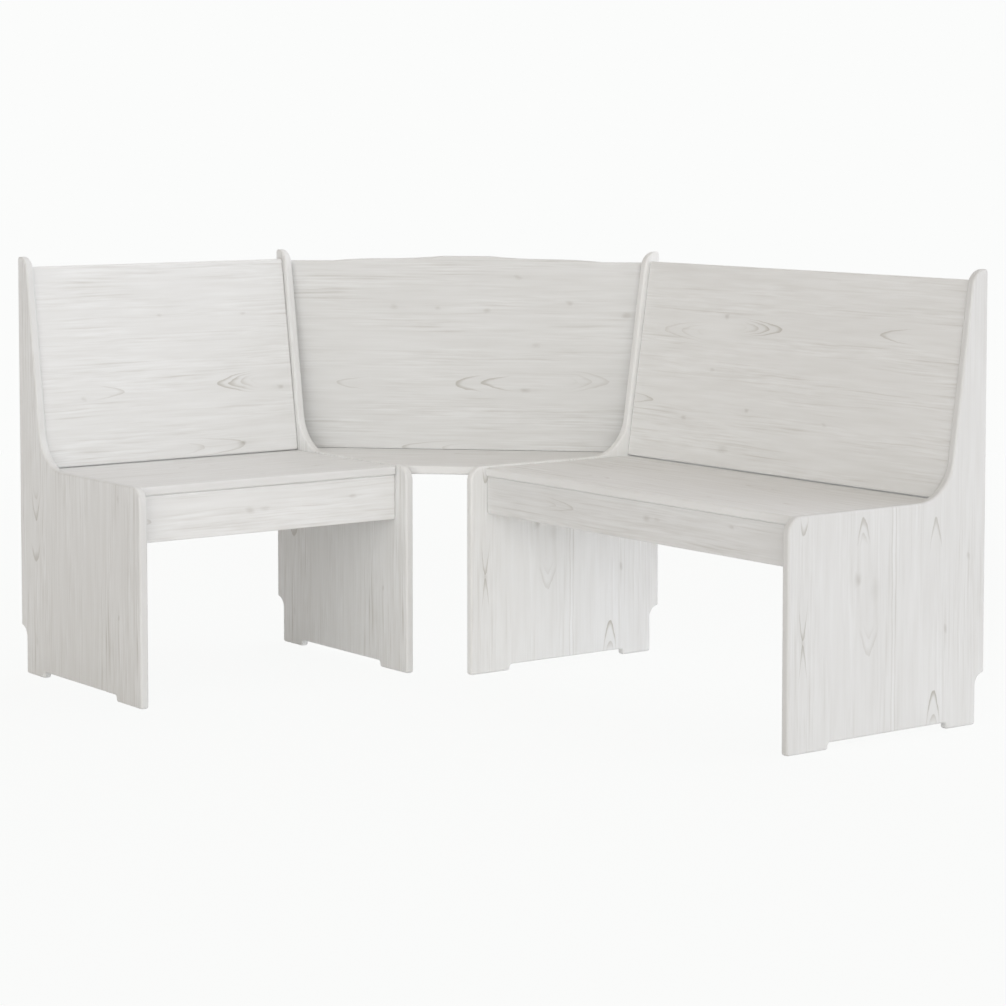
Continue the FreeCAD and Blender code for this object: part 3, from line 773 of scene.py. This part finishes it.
class CORNERBENCH_OT_backs(Operator):
    """Stains the three backs, whose grain runs level"""

    bl_idname = "corner_bench.backs"
    bl_label = "Stain backs"

    def execute(self, context):
        stain = settings().stain
        dress_board("short_wing_back", OUT_OF_SHORT_WING, ALONG_SHORT_WING, stain, CUTS["short_wing_back"])
        dress_board("corner_back", OUT_OF_CORNER, ALONG_CORNER, stain, CUTS["corner_back"])
        dress_board("long_wing_back", OUT_OF_LONG_WING, ALONG_LONG_WING, stain, CUTS["long_wing_back"])
        return {"FINISHED"}


class CORNERBENCH_OT_seats(Operator):
    """Stains the three seats"""

    bl_idname = "corner_bench.seats"
    bl_label = "Stain seats"

    def execute(self, context):
        stain = settings().stain
        dress_board("short_wing_seat", UP, ALONG_SHORT_WING, stain, CUTS["short_wing_seat"])
        dress_board("corner_seat", UP, ALONG_CORNER, stain, CUTS["corner_seat"])
        dress_board("long_wing_seat", UP, ALONG_LONG_WING, stain, CUTS["long_wing_seat"])
        return {"FINISHED"}


class CORNERBENCH_OT_aprons(Operator):
    """Stains the two aprons"""

    bl_idname = "corner_bench.aprons"
    bl_label = "Stain aprons"

    def execute(self, context):
        stain = settings().stain
        dress_board("short_wing_apron", OUT_OF_SHORT_WING, ALONG_SHORT_WING, stain, CUTS["short_wing_apron"])
        dress_board("long_wing_apron", OUT_OF_LONG_WING, ALONG_LONG_WING, stain, CUTS["long_wing_apron"])
        return {"FINISHED"}


class CORNERBENCH_OT_battens(Operator):
    """Gives the cleats, rails, corner blocks and battens their planed spruce"""

    bl_idname = "corner_bench.battens"
    bl_label = "Plane battens"

    def execute(self, context):
        spruce = settings().spruce
        pieces = {
            "long_wing_rear_rail": (UP, ALONG_LONG_WING),
            "short_wing_rear_rail": (UP, ALONG_SHORT_WING),
            "corner_rear_rail": (UP, ALONG_CORNER),
            "long_wing_seat_batten": (OUT_OF_SHORT_WING, ALONG_SHORT_WING),
            "long_wing_back_batten": (OUT_OF_LONG_WING, UP),
            "corner_seat_cleat_left": (UP, ALONG_LONG_WING),
            "corner_seat_cleat_right": (UP, ALONG_SHORT_WING),
        }
        for side in ("left", "right"):
            pieces["long_wing_seat_cleat_" + side] = (UP, ALONG_SHORT_WING)
            pieces["short_wing_seat_cleat_" + side] = (UP, ALONG_LONG_WING)
            pieces["long_wing_back_cleat_" + side] = (OUT_OF_LONG_WING, UP)
            pieces["short_wing_back_cleat_" + side] = (OUT_OF_SHORT_WING, UP)
            pieces["long_wing_apron_block_" + side] = (OUT_OF_LONG_WING, UP)
            pieces["short_wing_apron_block_" + side] = (OUT_OF_SHORT_WING, UP)
        for order, (node, (out, along)) in enumerate(pieces.items()):
            seed = FIRST_BATTEN_SEED + order * BATTEN_SEEDS_APART
            cut = Cut(BATTEN_FIGURE, order * BATTEN_STARTS_APART, seed, 1.0)
            dress_board(node, out, along, spruce, cut)
        return {"FINISHED"}


class CORNERBENCH_OT_dowels(Operator):
    """Gives the dowels their beech"""

    bl_idname = "corner_bench.dowels"
    bl_label = "Turn dowels"

    def execute(self, context):
        fasteners = settings().fasteners
        workings = Workings(bpy.data.materials.new("beech_dowel_finish"))
        place = workings.coordinate("Object")
        fleck = workings.noise(place, FLECK_CELLS, 3).ramp(*FLECK_LEVELS)
        pore = workings.noise(place, PORE_CELLS, 9, detail=3.0)
        shown = (fleck * FLECKS.colour + (pore - 0.5) * PORES.colour).clamped()
        colour = workings.blend(painted(fasteners.beech), painted(fasteners.beech_fleck), shown)
        roughness = pore * PORES.roughness + DOWEL_ROUGHNESS
        dress("apron_dowels", workings.shade(colour, roughness, pore, DOWEL_RELIEF))
        return {"FINISHED"}


class CORNERBENCH_OT_screws(Operator):
    """Plates the screws with zinc"""

    bl_idname = "corner_bench.screws"
    bl_label = "Plate screws"

    def execute(self, context):
        fasteners = settings().fasteners
        workings = Workings(bpy.data.materials.new("zinc_screw_finish"))
        place = workings.coordinate("Object")
        patch = workings.noise(place, PATCH_CELLS, 2, detail=4.0).ramp(*PATCH_LEVELS)
        speck = workings.noise(place, SPECK_CELLS, 8)
        dull = patch * PATCHES.colour
        colour = workings.blend(painted(fasteners.zinc), painted(fasteners.zinc_stain), dull)
        roughness = patch * PATCHES.roughness + speck * SPECKS.roughness + SCREW_ROUGHNESS
        material = workings.shade(colour, roughness, speck, SCREW_RELIEF, metallic=1.0)
        screws = [name for name in NODES if name.endswith("screws")]
        if not screws:
            raise RuntimeError("the bench has no screws")
        for name in screws:
            dress(name, material)
        return {"FINISHED"}


def seen_directly(workings):
    """1 where the camera, a mirror or a window looks, and nought where light only bounces."""
    path = workings.add("ShaderNodeLightPath")
    seen = Term(workings, path.outputs["Is Camera Ray"])
    for ray in ("Is Glossy Ray", "Is Transmission Ray"):
        seen = workings.sum("MAXIMUM", seen, Term(workings, path.outputs[ray]))
    return seen


class CORNERBENCH_OT_studio(Operator):
    """Lays the floor, lights the room and stands the camera where the picture was taken"""

    bl_idname = "corner_bench.studio"
    bl_label = "Set up studio"

    def execute(self, context):
        studio = settings().studio
        self.lay_floor(studio)
        self.light_room(studio)
        self.stand_camera(studio)
        return {"FINISHED"}

    def lay_floor(self, studio):
        """A wide floor that the camera sees in the backdrop's colour, with the bench's faint shadow."""
        mesh = bpy.data.meshes.new("studio_floor")
        turns = ((-1, -1), (1, -1), (1, 1), (-1, 1))
        mesh.from_pydata([(x * FLOOR_REACH, y * FLOOR_REACH, 0) for x, y in turns], [], [(0, 1, 2, 3)])
        floor = bpy.data.objects.new("studio_floor", mesh)
        bpy.context.scene.collection.objects.link(floor)
        workings = Workings(bpy.data.materials.new("studio_floor_paint"))
        place = workings.coordinate("Object")
        x, y, _ = workings.parts(place)
        far = (x.squared() + y.squared()).root().ramp(*FLOOR_ENDS)
        paint = workings.add("ShaderNodeBsdfDiffuse")
        speck = workings.noise(place, FLOOR_SPECK_CELLS, 1)
        shade = workings.blend(painted(studio.floor), painted(studio.floor_speck), speck)
        workings.feed(paint.inputs["Color"], shade)
        glow = workings.add("ShaderNodeEmission")
        glow.inputs["Color"].default_value = painted(studio.backdrop)
        share = far * (FAR_GLOW - NEAR_GLOW) + NEAR_GLOW
        workings.either(paint, glow, seen_directly(workings) * share)
        floor.data.materials.append(workings.owner)

    def light_room(self, studio):
        """Soft light from broad patches of the room, which the camera doesn't see."""
        world = bpy.data.worlds.new("studio_room")
        bpy.context.scene.world = world
        workings = Workings(world)
        front = workings.toward(OUT_OF_CORNER).squared().squared()
        back = workings.toward(-OUT_OF_LONG_WING)
        top = workings.toward(UP)
        shares = zip(studio.front_light, studio.back_light, studio.top_light)
        light = [front * ahead + back * behind + top * above for ahead, behind, above in shares]
        soft = workings.add("ShaderNodeBackground")
        workings.feed(soft.inputs["Color"], workings.joined(*light))
        backdrop = workings.add("ShaderNodeBackground")
        backdrop.inputs["Color"].default_value = painted(studio.backdrop)
        backdrop.inputs["Strength"].default_value = 1.0
        workings.either(soft, backdrop, seen_directly(workings))

    def stand_camera(self, studio):
        data = bpy.data.cameras.new("studio_camera")
        data.sensor_width = SENSOR_WIDTH
        data.lens = studio.lens_in_pixels / IMAGE_SIDE * SENSOR_WIDTH
        data.shift_y = studio.shift_in_pixels / IMAGE_SIDE
        data.clip_end = CAMERA_SIGHT
        camera = bpy.data.objects.new("studio_camera", data)
        camera.location = studio.camera_place
        camera.rotation_euler = (math.pi / 2 - studio.camera_tilt, 0, studio.camera_heading)
        scene = bpy.context.scene
        scene.collection.objects.link(camera)
        scene.camera = camera
        scene.view_settings.view_transform = "Standard"


OPERATORS = (
    CORNERBENCH_OT_side_panels,
    CORNERBENCH_OT_backs,
    CORNERBENCH_OT_seats,
    CORNERBENCH_OT_aprons,
    CORNERBENCH_OT_battens,
    CORNERBENCH_OT_dowels,
    CORNERBENCH_OT_screws,
    CORNERBENCH_OT_studio,
)


class CORNERBENCH_PT_bench(Panel):
    """Lists the steps and settings of the corner bench"""

    bl_idname = "CORNERBENCH_PT_bench"
    bl_label = "Corner bench"
    bl_space_type = "VIEW_3D"
    bl_region_type = "UI"
    bl_category = "Corner bench"

    def draw(self, context):
        for operator in OPERATORS:
            self.layout.operator(operator.bl_idname)
        for group in ("stain", "spruce", "fasteners", "studio"):
            box = self.layout.box()
            values = getattr(settings(), group)
            for name in values.bl_rna.properties.keys():
                if name not in ("rna_type", "name"):
                    box.prop(values, name)


CLASSES = (
    StainSettings,
    SpruceSettings,
    FastenerSettings,
    StudioSettings,
    BenchSettings,
    *OPERATORS,
    CORNERBENCH_PT_bench,
)


def register():
    for each in CLASSES:
        bpy.utils.register_class(each)
    bpy.types.Scene.corner_bench = PointerProperty(type=BenchSettings)


def unregister():
    del bpy.types.Scene.corner_bench
    for each in reversed(CLASSES):
        bpy.utils.unregister_class(each)


def main():
    register()
    bpy.ops.corner_bench.side_panels()
    bpy.ops.corner_bench.backs()
    bpy.ops.corner_bench.seats()
    bpy.ops.corner_bench.aprons()
    bpy.ops.corner_bench.battens()
    bpy.ops.corner_bench.dowels()
    bpy.ops.corner_bench.screws()
    bpy.ops.corner_bench.studio()


if __name__ == "__main__":
    main()
